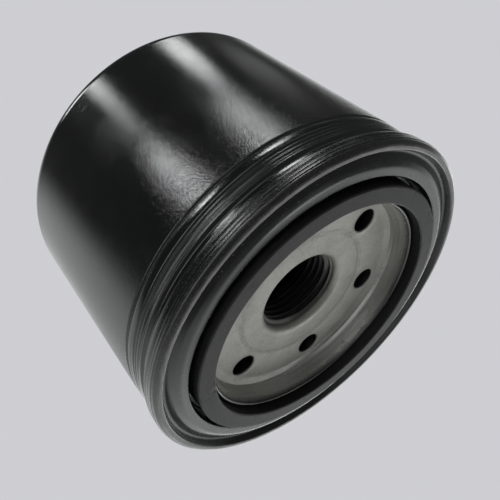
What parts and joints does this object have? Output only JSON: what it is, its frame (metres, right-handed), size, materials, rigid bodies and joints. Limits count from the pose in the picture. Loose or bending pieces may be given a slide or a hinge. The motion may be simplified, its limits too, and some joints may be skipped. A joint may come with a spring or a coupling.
{
  "type": "oil filter",
  "caption": "Short black spin-on oil filter: painted steel can with a rolled seam, rubber gasket ring, and a flat plate with a threaded centre hole ringed by inlet holes.",
  "frame": {"origin": "middle of the closed end's lowest face, which the filter stands on", "axes": "+Z along the filter's axis towards the threaded end; +X through one of the inlet holes"},
  "size_m": [0.0772, 0.0772, 0.06],
  "materials": {
    "can_paint": "gloss black enamel with fine scratches",
    "lid_paint": "satin dark grey, scuffed on the seam",
    "seam_compound": "dull",
    "plate_steel": "matt grey, oiled",
    "gasket_rubber": "matt",
    "valve_rubber": "smooth",
    "cap_steel": "tinned",
    "adhesive": "dull",
    "filter_paper": "resin-treated paper",
    "zinc_steel": "zinc plated",
    "seal_rubber": "smooth",
    "spring_steel": "drawn wire"
  },
  "bodies": {
    "housing": {"canister": "can_paint", "gasket_retainer": "lid_paint", "seam_compound": "seam_compound", "base_plate": "plate_steel", "sealing_gasket": "gasket_rubber", "check_valve_collar": "valve_rubber", "element_spring": "spring_steel"},
    "check_valve": {"check_valve_flap": "valve_rubber"},
    "element": {"upper_end_cap": "cap_steel", "upper_adhesive": "adhesive", "pleated_paper": "filter_paper", "pleat_clip": "zinc_steel", "centre_tube": "cap_steel", "lower_adhesive": "adhesive", "lower_end_cap": "cap_steel", "relief_valve_body": "zinc_steel", "relief_valve_spring": "spring_steel", "spring_seat": "zinc_steel"},
    "relief_valve": {"relief_valve_seal": "seal_rubber", "relief_valve_disc": "zinc_steel"}
  },
  "joints": [
    {"name": "check_valve_lift", "type": "slide", "parent": "housing", "child": "check_valve", "axis": [0, 0, -1], "range_m": [0, 0.0015], "stiffness_N_per_m": 400, "springref_m": -0.001},
    {"name": "element_float", "type": "slide", "parent": "housing", "child": "element", "axis": [0, 0, -1], "range_m": [0, 0.0012], "stiffness_N_per_m": 10000, "springref_m": -0.004, "deforming": ["element_spring"]},
    {"name": "relief_valve_lift", "type": "slide", "parent": "element", "child": "relief_valve", "axis": [0, 0, 1], "range_m": [0, 0.003], "stiffness_N_per_m": 2000, "springref_m": -0.004, "deforming": ["relief_valve_spring"]}
  ]
}
